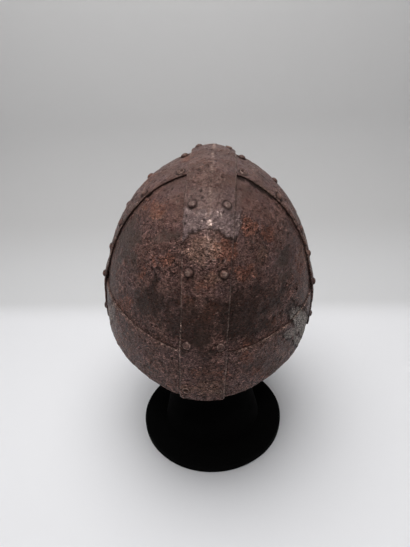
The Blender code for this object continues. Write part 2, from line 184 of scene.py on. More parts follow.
# How the photographed end looks: blotches as ellipses in the photograph's pixels, laid on the
# stretch of the shell that shows there. Each is x, y, half length, half width, turn in degrees
# and strength
BLOTCHES = {
    "rust": (
        (157, 209, 10, 8, 20, 0.80), (249, 227, 7, 10, 0, 1.00), (270, 236, 6, 9, -30, 0.95),
        (226, 253, 11, 13, 0, 1.00), (207, 282, 16, 10, 0, 0.60), (207, 312, 14, 8, -20, 0.80),
        (187, 299, 10, 7, 0, 0.70), (247, 270, 11, 10, 0, 0.80), (301, 262, 6, 18, 0, 0.85),
        (246, 343, 9, 6, 0, 0.90), (247, 356, 9, 5, -15, 0.90), (272, 322, 5, 6, 0, 0.90),
        (124, 304, 14, 7, -15, 0.85), (119, 343, 6, 10, 0, 0.65), (141, 276, 4, 8, 20, 0.80),
        (164, 261, 10, 8, 0, 0.75), (205, 369, 14, 6, 0, 0.60), (189, 160, 7, 6, 0, 0.85),
        (148, 181, 12, 5, -40, 0.50), (262, 372, 14, 6, 25, 0.45),
    ),
    "grey": (
        (128, 241, 11, 26, 12, 1.00), (166, 238, 14, 7, -10, 0.75), (283, 262, 8, 20, 0, 0.85),
        (203, 340, 9, 7, 0, 0.70), (112, 285, 5, 26, 0, 0.50), (248, 300, 16, 12, 0, 0.40),
    ),
    "pale": (
        (302, 325, 8, 20, -28, 1.00), (290, 331, 9, 4, -30, 0.70), (296, 340, 4, 6, -20, 0.90),
        (112, 314, 5, 12, 25, 0.45),
    ),
    "crust": (
        (160, 268, 22, 15, -15, 1.00), (176, 247, 12, 9, 0, 0.80), (205, 262, 17, 14, 0, 0.45),
        (247, 222, 9, 9, 0, 0.95), (291, 289, 6, 16, -10, 1.00), (262, 240, 13, 15, 0, 0.60),
        (250, 290, 22, 18, 0, 0.60), (205, 180, 14, 12, 0, 0.40),
    ),
    "dark": (
        (190, 322, 32, 28, 0, 0.75), (240, 314, 36, 26, 0, 0.80), (150, 300, 16, 18, 0, 0.80),
        (285, 258, 10, 14, 0, 0.60), (262, 296, 26, 18, 0, 0.60), (262, 364, 26, 9, 20, 0.45),
        (286, 337, 6, 3, 35, 1.00), (295, 345, 7, 3, 50, 1.00),
    ),
    # The first light blotch, on the middle band under the skin, stands partly for a painted highlight: the
    # broad sheen there
    "light": (
        (204, 251, 14, 13, 0, 0.95), (213, 278, 12, 6, 0, 0.60), (206, 384, 20, 9, 0, 0.60),
        (304, 250, 5, 18, -10, 0.60), (262, 255, 8, 8, 0, 0.50), (158, 212, 14, 9, 10, 0.40),
    ),
}
# The ragged lower edge of the shiny skin that is left on the middle band, and the rows between
# which it thins out upwards
SKIN_EDGE_X = (184, 187, 191, 196, 201, 206, 210, 214, 218, 222, 226, 231, 235, 238, 241)
SKIN_EDGE_Y = (241, 239, 235, 232, 230, 229, 229, 231, 230, 235, 238, 238, 241, 236, 224)
SKIN_TOP = 201.0
SKIN_FOOT = 222.0
SKIN_FADE = 16.0
# Holes and pits that lost rivets and rust have left. Columns: x, y in the photograph's pixels,
# radius and depth in millimetres
PITS = (
    (154.4, 180.4, 1.3, 1.2),
    (144.0, 190.8, 1.2, 1.1),
    (262.8, 175.3, 1.5, 1.3),
    (276.6, 196.0, 2.0, 1.2),
    (275.5, 318.0, 1.8, 0.9),
    (294.5, 313.0, 1.6, 1.0),
    (296.5, 341.0, 1.9, 0.9),
    (115.6, 241.6, 1.1, 0.9),
    (191.4, 196.0, 1.2, 0.5),
    (205.8, 379.5, 1.1, 0.5),
    (236.0, 365.0, 1.0, 0.4),
)
# Rivets whose heads aren't plain domes: worn flat, or eaten to a ring
RIVET_FORMS = {
    "rivet_medial_near_1_left": "ring",
    "rivet_medial_near_1_right": "button",
    "rivet_medial_near_2_left": "flat",
    "rivet_medial_near_2_right": "flat",
    "rivet_lateral_left_6_near": "ring",
    "rivet_lateral_right_6_near": "ring",
    "rivet_lateral_left_3_far": "flat",
    "rivet_lateral_right_4_far": "ring",
    "rivet_medial_far_2_left": "flat",
    "rivet_medial_far_4_right": "ring",
}


def clip01(values):
    return np.clip(values, 0.0, 1.0)


def ease(share):
    share = clip01(share)
    return share * share * (3.0 - 2.0 * share)


def step(low, high, values):
    """0 below low, 1 above high and smooth between."""
    return ease((values - low) / (high - low))


def unit(vectors):
    return vectors / np.linalg.norm(vectors, axis=-1, keepdims=True)


# The shell

def profile(height, power, rounding):
    share = clip01(height / SHELL_HEIGHT)
    return clip01(1.0 - share**power) ** rounding


def half_width(height):
    return SHELL_HALF_WIDTH * profile(height, WIDTH_POWER, WIDTH_ROUNDING)


def half_length(height):
    return SHELL_HALF_LENGTH * profile(height, LENGTH_POWER, LENGTH_ROUNDING)


def oval_x(height, y):
    """Half width of the oval section at a height, where it crosses y; below 0 past its ends."""
    along = np.abs(y) / np.maximum(half_length(height), 1e-9)
    width = half_width(height) * np.sqrt(clip01(1.0 - along**2)) * (1.0 - END_TAPER * along**2)
    return np.where(along < 1.0, width, -1.0)


def is_inside(points):
    within = np.abs(points[:, 0]) < oval_x(points[:, 2], points[:, 1])
    return within & (points[:, 2] < SHELL_HEIGHT)


def cast(origins, directions, reach=0.39, halvings=34):
    """Where rays that start inside the shell meet it."""
    near = np.zeros(len(origins))
    far = np.full(len(origins), reach)
    for _ in range(halvings):
        middle = (near + far) / 2
        inside = is_inside(origins + directions * middle[:, None])
        near = np.where(inside, middle, near)
        far = np.where(inside, far, middle)
    return origins + directions * near[:, None]


def normals(points, turn=2e-3):
    """Outward normals of the shell at points on it."""
    out = unit(points)
    side = unit(np.cross(out, np.where(np.abs(out[:, :1]) < 0.7, [[1.0, 0, 0]], [[0, 1.0, 0]])))
    other = np.cross(out, side)
    centre = np.zeros_like(points)
    across = cast(centre, unit(out + side * turn)) - cast(centre, unit(out - side * turn))
    along = cast(centre, unit(out + other * turn)) - cast(centre, unit(out - other * turn))
    found = unit(np.cross(across, along))
    return found * np.sign((found * out).sum(1))[:, None]


def arc_angles(long_way):
    """Angles about the rim's centre along the shell's middle line, and the length run at each."""
    angles = np.linspace(pi, 0.0, 721) if long_way else np.linspace(0.0, pi, 721)
    level, up = np.cos(angles), np.sin(angles)
    zero = np.zeros_like(level)
    rays = np.stack([zero, level, up] if long_way else [level, zero, up], 1)
    line = cast(np.zeros_like(rays), rays)
    steps = np.linalg.norm(np.diff(line, axis=0), axis=1)
    return angles, np.concatenate([[0.0], np.cumsum(steps)])


MEDIAL_ANGLES, MEDIAL_LENGTHS = arc_angles(True)
LATERAL_ANGLES, LATERAL_LENGTHS = arc_angles(False)
MEDIAL_HALF = MEDIAL_LENGTHS[-1] / 2
LATERAL_HALF = LATERAL_LENGTHS[-1] / 2


def medial_line(across, distance):
    """Shell points at x = across, at a distance along the medial line from the near rim."""
    angle = np.interp(distance, MEDIAL_LENGTHS, MEDIAL_ANGLES)
    zero = np.zeros_like(angle)
    return cast(np.stack([across, zero, zero], 1), np.stack([zero, np.cos(angle), np.sin(angle)], 1))


def lateral_line(across, distance):
    """Shell points at y = across, at a distance along the lateral line from the +X rim."""
    angle = np.interp(distance, LATERAL_LENGTHS, LATERAL_ANGLES)
    zero = np.zeros_like(angle)
    return cast(np.stack([zero, across, zero], 1), np.stack([np.cos(angle), zero, np.sin(angle)], 1))


def oval_ring(height, angles):
    x = half_width(height) * np.cos(angles) * (1.0 - END_TAPER * np.sin(angles) ** 2)
    return np.stack([x, half_length(height) * np.sin(angles), height], -1)


HELMET_TILT = Euler((HELMET_TIP, HELMET_LEAN, 0.0), "XYZ")
HELMET = Matrix.Translation(RIM_CENTRE) @ HELMET_TILT.to_matrix().to_4x4()
HELMET_TURN = np.array(HELMET)[:3, :3]


def to_world(points):
    return points @ HELMET_TURN.T + np.array(RIM_CENTRE)


# How the bands lie over each other

def over_brow(height):
    return ease((BROW_BAND_HEIGHT + LIFT_CLEARANCE + LIFT_RAMP - height) / LIFT_RAMP)


def over_laterals(points):
    half = LATERAL_BAND_WIDTH / 2
    before = LEFT_BAND_SHIFT - half - points[:, 1]
    behind = points[:, 1] - RIGHT_BAND_SHIFT - half
    at_crown = points[:, 2] > SHELL_HEIGHT / 2
    return ease((LIFT_CLEARANCE + LIFT_RAMP - np.maximum(before, behind)) / LIFT_RAMP) * at_crown


def medial_half(distance):
    """Half the medial band's width, which grows from the rims to the crown."""
    from_rim = 1.0 - np.abs(distance / MEDIAL_HALF - 1.0)
    return (MEDIAL_RIM_WIDTH + (MEDIAL_CROWN_WIDTH - MEDIAL_RIM_WIDTH) * from_rim) / 2


def band_shift(side):
    return RIGHT_BAND_SHIFT if side > 0 else LEFT_BAND_SHIFT


def medial_base(points, across, distance):
    """Height of the medial band's inner face over the shell, with its keel."""
    lift = np.maximum(over_brow(points[:, 2]), over_laterals(points))
    keel = KEEL_HEIGHT * ease(points[:, 2] / KEEL_FADE) * (1.0 - np.abs(across) / medial_half(distance))
    return LAYER_GAP + lift * (BAND_THICKNESS + LAYER_GAP) + np.maximum(keel, 0.0)


def lateral_base(points):
    return LAYER_GAP + over_brow(points[:, 2]) * (BAND_THICKNESS + LAYER_GAP)


def medial_face(across, distance):
    points = medial_line(across, distance)
    height = medial_base(points, across, distance) + BAND_THICKNESS
    return points + normals(points) * height[:, None], height


def lateral_face(across, distance):
    points = lateral_line(across, distance)
    height = lateral_base(points) + BAND_THICKNESS
    return points + normals(points) * height[:, None], height


def rivet_seat(face, across, distance):
    """A rivet's seat on a band's outer face, the outward direction there and the height of the face."""
    shifts = np.array([[0, 0], [1, 0], [-1, 0], [0, 1], [0, -1]]) * MM
    spots, heights = face(across + shifts[:, 0], distance + shifts[:, 1])
    out = unit(np.cross(spots[1] - spots[2], spots[3] - spots[4]))
    return spots[0], out * np.sign(out @ spots[0]), heights[0]


def rivet_seats():
    """Seat, outward direction and height over the shell of each rivet, by its node."""
    seats = {}
    reach = MEDIAL_RIM_WIDTH / 2 - RIVET_INSET
    for end, shares in (("near", MEDIAL_NEAR_ROWS), ("far", MEDIAL_FAR_ROWS)):
        rows = [FOOT_RIVET_HEIGHT] + [MEDIAL_HALF * share for share in shares]
        for number, row in enumerate(rows, 1):
            distance = row if end == "near" else 2 * MEDIAL_HALF - row
            for side, across in (("left", -reach), ("right", reach)):
                seats[f"rivet_medial_{end}_{number}_{side}"] = rivet_seat(medial_face, across, distance)
    reach = LATERAL_BAND_WIDTH / 2 - RIVET_INSET
    rows = [FOOT_RIVET_HEIGHT] + [LATERAL_HALF * share for share in LATERAL_ROWS]
    for number, row in enumerate(rows, 1):
        for end, across in (("near", -reach), ("far", reach)):
            for side, sign in (("left", -1), ("right", 1)):
                point, out, height = rivet_seat(lateral_face, across + band_shift(sign), row)
                flip = np.array([sign, 1.0, 1.0])
                seats[f"rivet_lateral_{side}_{number}_{end}"] = (point * flip, out * flip, height)
    return seats


RIVET_SEATS = rivet_seats()


# Noise

CORNERS = [(i, j, k) for i in (0, 1) for j in (0, 1) for k in (0, 1)]
GRADIENTS = unit(np.random.default_rng(11).normal(size=(256, 3)))
JITTER = np.random.default_rng(12).random(size=(256, 3))


def scramble(cells, seed):
    """A number from 0 to 255 for each whole-number cell."""
    code = cells[:, 0] * 73856093 ^ cells[:, 1] * 19349663 ^ cells[:, 2] * 83492791 ^ seed * 2654435761
    code = (code ^ (code >> 15)) * 2246822519
    return ((code ^ (code >> 13)) >> 3) & 255


def smooth_noise(points, seed):
    """Smooth noise from about -1 to 1, with one feature a unit."""
    cells = np.floor(points).astype(np.int64)
    part = points - cells
    fade = part**3 * (part * (part * 6 - 15) + 10)
    total = np.zeros(len(points))
    for corner in CORNERS:
        offset = np.array(corner)
        pull = GRADIENTS[scramble(cells + offset, seed)]
        weight = np.prod(np.where(offset == 1, fade, 1 - fade), axis=1)
        total += weight * ((part - offset) * pull).sum(1)
    return total * 1.6


def rough_noise(points, scale, octaves, seed):
    """Noise in octaves, from features of scale millimetres down."""
    total = np.zeros(len(points))
    share, size = 1.0, scale
    for octave in range(octaves):
        total += share * smooth_noise(points / size, seed + octave)
        share, size = share * 0.55, size * 0.5
    return total


def spots(points, scale, seed):
    """Distance in millimetres to the nearest of scattered points about scale apart."""
    place = points / scale
    cells = np.floor(place).astype(np.int64)
    best = np.full(len(points), 9.0)
    for shift in [(i, j, k) for i in (-1, 0, 1) for j in (-1, 0, 1) for k in (-1, 0, 1)]:
        near = cells + np.array(shift)
        seeds = near + JITTER[scramble(near, seed)]
        best = np.minimum(best, np.linalg.norm(place - seeds, axis=1))
    return best * scale


# The camera, and what its pixels fall on

def camera_axes():
    """The camera's right, up and forward directions."""
    heading, pitch, roll = CAMERA_HEADING, CAMERA_PITCH, CAMERA_ROLL
    forward = Vector((-sin(heading) * cos(pitch), cos(heading) * cos(pitch), -sin(pitch)))
    level = Vector((cos(heading), sin(heading), 0.0))
    upright = level.cross(forward)
    right = level * cos(roll) + upright * sin(roll)
    up = upright * cos(roll) - level * sin(roll)
    return right, up, forward


# Where a line of sight is searched for the helmet, in metres from the camera, and how much
# bigger than the shell the bands make it
SIGHT_NEAR, SIGHT_FAR, SIGHT_STEPS = 0.2, 0.5, 1500
SIGHT_MARGIN = 1.02


def spot_on_shell(x, y):
    """The helmet's point under a pixel of the photograph, in the helmet's own axes."""
    right, up, forward = camera_axes()
    ray = forward + right * ((x - PHOTO_WIDTH / 2) / FOCAL_PIXELS)
    ray -= up * ((y - PHOTO_HEIGHT / 2) / FOCAL_PIXELS)
    back = HELMET.inverted()
    start = np.array(back @ CAMERA_PLACE)
    way = unit(np.array(back.to_3x3() @ ray))
    line = start + way * np.linspace(SIGHT_NEAR, SIGHT_FAR, SIGHT_STEPS)[:, None]
    hits = is_inside(line / SIGHT_MARGIN)
    index = int(np.argmax(hits)) if hits.any() else int(np.argmin(np.linalg.norm(line, axis=1)))
    return cast(np.zeros((1, 3)), unit(line[index : index + 1]))[0]


PIT_SPOTS = [(spot_on_shell(x, y), radius, depth) for x, y, radius, depth in PITS]
CRISP = ("pale",)


def photo_place(points, out):
    """The pixel of the photograph that each point shows at, and 1 where it faces that way."""
    right, up, forward = (np.array(axis) for axis in camera_axes())
    away = to_world(points) - np.array(CAMERA_PLACE)
    depth = away @ forward
    x = PHOTO_WIDTH / 2 + FOCAL_PIXELS * (away @ right) / depth
    y = PHOTO_HEIGHT / 2 - FOCAL_PIXELS * (away @ up) / depth
    facing = (unit(away) * (out @ HELMET_TURN.T)).sum(1)
    return x, y, step(0.12, 0.0, facing)


def blotch_levels(x, y, seen, ragged, tatter):
    """For each kind of blotch, how far inside its ragged outline each point is, and its strength."""
    levels = {kind: np.full(len(x), -1.0) for kind in BLOTCHES}
    strengths = {kind: np.zeros(len(x)) for kind in BLOTCHES}
    for kind, blotches in BLOTCHES.items():
        fray = 0.20 * ragged + 0.20 * tatter if kind in CRISP else 0.55 * ragged + 0.35 * tatter
        for centre_x, centre_y, length, width, turn, strength in blotches:
            c, s = cos(radians(turn)), sin(radians(turn))
            a, b = x - centre_x, y - centre_y
            reach = np.sqrt(((a * c + b * s) / length) ** 2 + ((b * c - a * s) / width) ** 2)
            level = np.clip(1.0 - reach + fray, -1.0, 1.0) * seen - (1.0 - seen)
            strengths[kind] = np.where(level > levels[kind], strength, strengths[kind])
            levels[kind] = np.maximum(level, levels[kind])
    return levels, strengths


def pit_depth(points):
    """Millimetres taken away by the pits."""
    depth = np.zeros(len(points))
    for centre, radius, deep in PIT_SPOTS:
        away = np.linalg.norm(points - centre, axis=1) / MM
        depth = np.maximum(depth, deep * step(1.15, 0.55, away / radius))
    return depth


def rivet_distance(points):
    """Millimetres from each point to the nearest rivet's seat."""
    best = np.full(len(points), 99.0)
    for seat, _, _ in RIVET_SEATS.values():
        best = np.minimum(best, np.linalg.norm(points - seat, axis=1) / MM)
    return best


def skin_cover(x, y, seen, ragged, tatter):
    """How much of the shiny skin is left, and the shadow under its ragged lower edge."""
    above_edge = np.interp(x, SKIN_EDGE_X, SKIN_EDGE_Y) + 2.0 * tatter - y
    inward = np.minimum(x - SKIN_EDGE_X[0], SKIN_EDGE_X[-1] - x) + 2.5 * tatter
    within = step(-0.5, 0.5, inward) * (seen > 0.5)
    flaked = step(0.25, 0.75, step(SKIN_TOP, SKIN_FOOT, y + 7.0 * ragged) + 0.30 * tatter)
    thin = 0.30 * step(SKIN_TOP - SKIN_FADE, SKIN_TOP, y)
    skin = step(-0.4, 0.4, above_edge) * within * (thin + 0.70 * flaked)
    shadow = step(-2.6, -1.3, above_edge) * step(0.1, -0.4, above_edge) * within
    return skin, shadow


def surface(points, out, covered):
    """The relief of the iron in millimetres and the attributes of its looks, at shell points.

    covered is 1 where the surface lies under another piece and 0 where it is open.
    """
    place = points / MM
    height = place[:, 2]
    ragged = rough_noise(place, *RAGGED_OUTLINE)
    tatter = rough_noise(place, *TATTERED_OUTLINE)
    broad = rough_noise(place, *BROAD_CHANGE)
    flakes = rough_noise(place + 2.0 * ragged[:, None], *FLAKES)
    lumps = rough_noise(place, *LUMPS)
    pebbles = 0.5 - np.abs(smooth_noise(place / 2.4, 61))

    x, y, seen = photo_place(points, out)
    levels, strengths = blotch_levels(x, y, seen, ragged, tatter)
    soft = {
        kind: step(-0.35, 0.45, levels[kind]) * strengths[kind]
        for kind in BLOTCHES if kind not in CRISP
    }
    pale = step(-0.05, 0.05, levels["pale"]) * strengths["pale"]
    # A painted shadow along the pale patch's rim
    pale_rim = step(-0.42, -0.20, levels["pale"]) * step(0.0, -0.06, levels["pale"]) * strengths["pale"]
    skin, skin_shadow = skin_cover(x, y, seen, ragged, tatter)

    # The iron is calmer where it is grey, and grainier low down, on the side in view and in the crust; the
    # grain's swing in tone is partly painted sparkle
    calm = 1.0 - 0.75 * soft["grey"]
    grain_and_sparkle = clip01(0.25 + 0.75 * step(150.0, 112.0, height) + 0.4 * soft["crust"] - 0.55 * soft["grey"])
    grain_and_sparkle = grain_and_sparkle + 0.5 * step(100.0, 60.0, height) * seen + 0.5 * soft["crust"]
    rough = 0.2 + 0.5 * clip01(grain_and_sparkle) + 1.0 * soft["crust"] + 0.2 * soft["rust"]

    holes = spots(place, POCK_SPACING, 71)
    hole_size = 1.5 + 1.0 * smooth_noise(place / 18, 72)
    pocks = step(1.0, 0.35, holes / np.maximum(hole_size, 0.1))
    shelf = step(0.09, 0.15, flakes) + 0.7 * step(-0.45, -0.39, flakes)
    shelf_edge = step(-0.06, 0.06, flakes - 0.05) * step(0.16, 0.06, flakes - 0.02)
    pits = pit_depth(points)
    seat = rivet_distance(points)
    # A groove round each rivet's seat, which is also darkened as painted shade
    seat_ring = step(5.6, 4.4, seat) * step(0.5, 2.5, seat)
    relief = (
        SHELF_RISE * shelf * calm
        + (LUMP_RISE * lumps + PEBBLE_RISE * pebbles) * rough * calm
        + (SKIN_RISE + SKIN_LUMP_RISE * lumps) * skin
        + (CRUST_RISE * flakes + CRUST_LUMP_RISE * lumps) * soft["crust"]
        - PALE_DROP * pale
        - POCK_DEPTH * pocks * calm
        - SEAT_DEPTH * seat_ring
        - pits
    )
    # Darker in the pits and pock holes and along the flakes' edges, with a painted shadow under the skin's
    # lower edge and along the pale patch's rim, and painted shade round the rivets' seats
    pit_and_painted_shade = (
        0.9 * pocks * calm + pits + 0.95 * skin_shadow + 0.80 * seat_ring
        + pale_rim * (tatter > -0.5) + (0.40 + 0.60 * soft["crust"]) * shelf_edge * calm
    )
    attributes = {
        "rust": clip01(soft["rust"] * (0.9 + 0.4 * ragged) + 0.45 * step(0.2, 0.8, broad)),
        "grey": clip01(soft["grey"] * (0.9 + 0.3 * ragged) + 0.45 * step(128.0, 150.0, height)),
        "skin": skin * step(-1.6, -0.4, lumps),
        "pale": pale,
        "dark": clip01(soft["dark"] * 0.9 + 0.35 * step(0.1, 0.7, -broad)),
        "light": clip01(soft["light"]),
        "pit_and_painted_shade": clip01(pit_and_painted_shade),
        "high": clip01(0.5 + 0.25 * (shelf - 0.9) + (0.25 * lumps + 0.3 * pebbles) * rough),
        "grain_and_sparkle": grain_and_sparkle,
    }
    return relief * (1.0 - covered), attributes


def swell(points):
    """Broad unevenness that all the layers share, in millimetres."""
    return SWELL * rough_noise(points / MM, *SWELLING)


# The sheets

SHEET_SHARP = radians(62)
RIVET_SHARP = radians(50)
STAND_SHARP = radians(60)
# How much of the outer face's rust its inner face has
UNDERSIDE_SHARE = 0.5


def sheet(node, base, out, top, bottom, shape, looks, finish, ring=False):
    """A closed sheet over a grid of shell points, with heights in metres of its two faces.

    It stands for a node's solid. ring joins the last column of the grid to the first.
    """
    outer = to_world(base + out * top[:, None])
    inner = to_world(base + out * bottom[:, None])
    count = len(base)
    index = np.arange(count).reshape(shape)
    right = np.roll(index, -1, axis=1) if ring else index[:, 1:]
    left = index if ring else index[:, :-1]
    quads = np.stack([left[:-1], right[:-1], right[1:], left[1:]], -1).reshape(-1, 4)
    edges = [(left[0], right[0]), (right[-1], left[-1])]
    if not ring:
        edges += [(index[1:, 0], index[:-1, 0]), (index[:-1, -1], index[1:, -1])]
    walls = [np.stack([a + count, b + count, b, a], -1) for a, b in edges]
    faces = np.concatenate([quads, quads[:, ::-1] + count] + walls)
    first = outer[quads[0]]
    facing = np.cross(first[1] - first[0], first[3] - first[0]) @ (HELMET_TURN @ out[0])
    if facing < 0:
        faces = faces[:, ::-1]
    under = {key: values * UNDERSIDE_SHARE for key, values in looks.items()}
    # Painted shade on the inner face near the edges darkens the edge walls
    under["pit_and_painted_shade"] = np.maximum(under["pit_and_painted_shade"], looks.get("crevice", 0.0))
    both = {key: np.concatenate([looks[key], under[key]]) for key in looks if key != "crevice"}
    points = np.concatenate([outer, inner])
    dressed(node, "iron", points, faces.tolist(), both, finish, SHEET_SHARP)


def smooth_piece(name, points, faces, finish):
    mesh = bpy.data.meshes.new(name)
    mesh.from_pydata(points, [], faces)
    mesh.materials.append(finish)
    mesh.shade_smooth()
    piece = bpy.data.objects.new(name, mesh)
    bpy.context.scene.collection.objects.link(piece)
    return piece


def dressed(node, stuff, points, faces, looks, finish, sharp):
    """A piece from points and faces, with its looks as attributes, which stands for a node's solid."""
    piece = smooth_piece(f"{node}_{stuff}", points.tolist(), faces, finish)
    for key, values in looks.items():
        layer = piece.data.attributes.new(key, "FLOAT", "POINT")
        layer.data.foreach_set("value", np.asarray(values, dtype=np.float32))
    piece.data.set_sharp_from_angle(angle=sharp)
    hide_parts(node)
    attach(piece, "root")


def closed_faces(sides, count, flip=False):
    """Faces over a first point, then count rings of so many sides each, then a last point."""
    pairs = [(i, (i + 1) % sides) for i in range(sides)]
    last_ring = 1 + (count - 1) * sides
    last = last_ring + sides
    faces = [(0, 1 + j, 1 + i) for i, j in pairs]
    for ring in range(count - 1):
        low, high = 1 + ring * sides, 1 + (ring + 1) * sides
        faces += [(low + i, low + j, high + j, high + i) for i, j in pairs]
    faces += [(last_ring + i, last_ring + j, last) for i, j in pairs]
    return [(face[0], *face[:0:-1]) for face in faces] if flip else faces


def edge_fall(distance, fall):
    """How far a face falls at a distance from an edge, in metres; fall is its width and depth."""
    width, depth = fall
    return depth * MM * (1.0 - ease(distance / (width * MM))) ** 1.5


def grid(first, second):
    """Two flat arrays over a grid, second varying along its rows, and the grid's shape."""
    a, b = np.meshgrid(first, second, indexing="ij")
    return a.ravel(), b.ravel(), a.shape


def stops(length, spacing):
    """How many points spacing millimetres apart a length in metres takes."""
    return int(round(length / (spacing * MM))) + 1


def band_layers(points, base_height, relief, rise, edge_drop):
    """Heights in metres of a band's outer and inner faces, which rise together at a sprung edge."""
    inner = base_height + swell(points) * MM + rise
    outer = inner + BAND_THICKNESS + relief * MM - edge_drop
    return np.maximum(outer, inner + THINNEST_BAND * MM), inner


def medial_band(finish):
    """The keeled band from rim to rim over the crown."""
    ways = np.linspace(0.0, 2 * MEDIAL_HALF, stops(2 * MEDIAL_HALF, STEP_ALONG))
    shares = np.linspace(-1.0, 1.0, stops(MEDIAL_CROWN_WIDTH, STEP_MEDIAL_ACROSS))
    distance, share, shape = grid(ways, shares)
    half = medial_half(distance)
    across = share * half
    points = medial_line(across, distance)
    out = normals(points)
    relief, looks = surface(points, out, np.zeros(len(points)))
    wander = 0.35 * MM * rough_noise(points / MM, *MEDIAL_WANDER)
    edge = half - np.abs(across)
    drop = edge_fall(edge + wander, MEDIAL_EDGE_FALL)
    base = medial_base(points, across, distance)
    top, bottom = band_layers(points, base, relief, 0.0, drop)
    worn = step(-0.6, 0.5, rough_noise(points / MM, *MEDIAL_EDGE_WEAR))
    # The keel near the crown and the edges all along are lighter, partly rubbed bright and partly a painted
    # highlight
    ridge = step(1.6 * MM, 0.3 * MM, np.abs(across + 0.6 * wander)) * step(0.090, 0.118, points[:, 2])
    rubbed_and_highlit = step(1.3 * MM, 0.4 * MM, edge) * (0.35 + 0.65 * worn)
    looks["edge"] = np.maximum(rubbed_and_highlit, 0.75 * ridge * worn)
    # Painted shade on the inner face near the edges, which darkens the edge walls
    looks["crevice"] = step(1.0 * MM, 0.3 * MM, edge)
    moved = points.copy()
    moved[:, 0] += wander * step(2 * MM, 0, edge) * np.sign(across)
    sheet("medial_band", moved, out, top, bottom, shape, looks, finish)


def lateral_band(node, side, finish):
    """One half band from the rim to the crown, over the brow band and under the medial band."""
    half = LATERAL_BAND_WIDTH / 2
    last = LATERAL_HALF - (MEDIAL_CROWN_WIDTH / 2 - LATERAL_END_TUCK)
    ways = np.linspace(0.0, last, stops(last, STEP_ALONG))
    sides = np.linspace(-half, half, stops(LATERAL_BAND_WIDTH, STEP_LATERAL_ACROSS))
    distance, across, shape = grid(ways, sides)
    points = lateral_line(across + band_shift(side), distance) * np.array([side, 1.0, 1.0])
    out = normals(points)
    place = points / MM
    medial_edge = LATERAL_HALF - MEDIAL_CROWN_WIDTH / 2
    covered = step(medial_edge - 2 * MM, medial_edge, distance)
    relief, looks = surface(points, out, covered)
    near, far = half + across, half - across
    edge = np.minimum(near, far)
    wander = 0.40 * MM * rough_noise(place, *LATERAL_WANDER)
    if side > 0:
        # The right band's near edge is torn between the brow band and the crown
        height = place[:, 2]
        torn = step(150.0, 120.0, height) * step(45.0, 60.0, height) * step(half, 0, near)
        bites = step(0.0, 0.3, rough_noise(place, *EDGE_BITES))
        wander = wander * (1.0 + 2.5 * torn) - TORN_EDGE * MM * torn * bites
    drop = edge_fall(edge + wander, LATERAL_EDGE_FALL)
    sprung = SPRUNG_EDGE * MM * step(9 * MM, 0.5 * MM, near) * step(30.0, 70.0, place[:, 2]) * (1.0 - covered)
    top, bottom = band_layers(points, lateral_base(points), relief, sprung, drop)
    worn = step(-0.5, 0.6, rough_noise(place, *EDGE_WEAR))
    # The edges are lighter, partly rubbed bright and partly a painted highlight, and painted shade darkens
    # the edge walls from the inner face
    looks["edge"] = step(1.2 * MM, 0.2 * MM, edge) * worn
    looks["crevice"] = step(1.2 * MM, 0.3 * MM, edge)
    moved = points.copy()
    moved[:, 1] += wander * step(2 * MM, 0, edge) * np.sign(across)
    sheet(node, moved, out, top, bottom, shape, looks, finish)


def beside(gap, reach):
    """1 right beside an edge that lies gap metres away, and 0 under it or reach millimetres off."""
    return step(-0.4 * MM, 0.0, gap) * step(reach * MM, 0.4 * reach * MM, gap)


def medial_gap(points):
    """How far points are outside the medial band's edges, in metres."""
    from_rim = clip01(points[:, 2] / SHELL_HEIGHT)
    half = (MEDIAL_RIM_WIDTH + (MEDIAL_CROWN_WIDTH - MEDIAL_RIM_WIDTH) * from_rim) / 2
    return np.abs(points[:, 0]) - half


def lateral_gap(points):
    """How far points are outside the lateral bands' edges, in metres."""
    shift = np.where(points[:, 0] > 0, RIGHT_BAND_SHIFT, LEFT_BAND_SHIFT)
    return np.abs(points[:, 1] - shift) - LATERAL_BAND_WIDTH / 2


def brow_band(finish):
    """The ring round the rim."""
    around = int(2 * pi * BROW_MEAN_RADIUS / (STEP_BROW * MM))
    heights = np.linspace(0.0, BROW_BAND_HEIGHT, stops(BROW_BAND_HEIGHT, STEP_BROW))
    level, angle, shape = grid(heights, np.linspace(0.0, 2 * pi, around, endpoint=False))
    points = oval_ring(level, angle)
    out = normals(points)
    place = points / MM
    gap = np.minimum(medial_gap(points), lateral_gap(points))
    covered = step(0.0, -2 * MM, gap)
    relief, looks = surface(points, out, covered)
    wander = 0.40 * MM * rough_noise(place, *BROW_WANDER)
    above, below = BROW_BAND_HEIGHT - level, level
    drop = edge_fall(above + wander, BROW_TOP_FALL) + edge_fall(below, BROW_RIM_FALL)
    top, bottom = band_layers(points, LAYER_GAP, relief, 0.0, drop)
    worn = step(-0.5, 0.6, rough_noise(place, *EDGE_WEAR))
    # The edges are lighter, partly rubbed bright and partly a painted highlight
    looks["edge"] = step(1.6 * MM, 0.3 * MM, np.minimum(above, below)) * (0.35 + 0.65 * worn)
    # Painted shade beside the edges of the bands that lie over it
    looks["pit_and_painted_shade"] = np.maximum(looks["pit_and_painted_shade"], 0.8 * beside(gap, 1.3))
    moved = points.copy()
    moved[:, 2] += wander * step(2 * MM, 0, above)
    sheet("brow_band", moved, out, top, bottom, shape, looks, finish, ring=True)


def solve(test, low, high, halvings=40):
    """The value between low and high at which test turns from true to false."""
    for _ in range(halvings):
        middle = (low + high) / 2
        low, high = (middle, high) if test(middle) else (low, middle)
    return low


